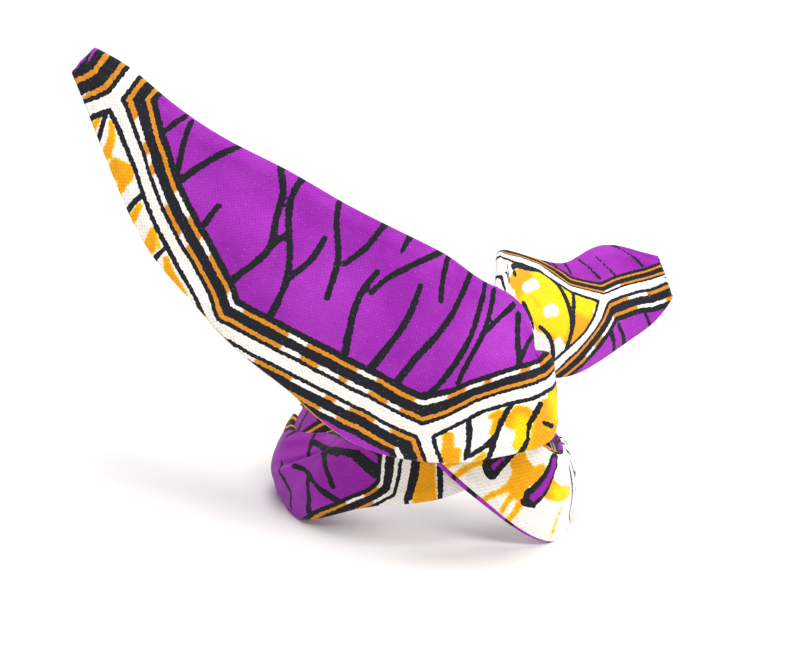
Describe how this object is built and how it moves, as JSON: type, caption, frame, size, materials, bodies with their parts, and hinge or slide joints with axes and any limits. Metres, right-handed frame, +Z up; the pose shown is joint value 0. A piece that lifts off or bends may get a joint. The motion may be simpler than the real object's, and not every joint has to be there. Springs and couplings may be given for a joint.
{
  "type": "wire bun wrap",
  "caption": "Flat printed-cotton band stiffened by a hidden wire, half knotted round an open loop for a hair bun, with one tall wing and one short wing.",
  "frame": {"origin": "on the standing surface, under the middle of the whole object's box", "axes": "+Z up out of the loop, +X towards the short wing, -Y towards the viewer"},
  "size_m": [0.1641, 0.093, 0.1247],
  "materials": {
    "printed_cotton_front": "matt printed plain-weave cotton, mostly purple with black and cream lines",
    "printed_cotton_back": "matt printed plain-weave cotton, mostly orange and cream with purple",
    "steel_wire": "soft craft wire, hidden in the tube"
  },
  "bodies": {
    "root": {"front_panel": "printed_cotton_front", "back_panel": "printed_cotton_back", "edge_wire": "steel_wire"}
  },
  "joints": []
}
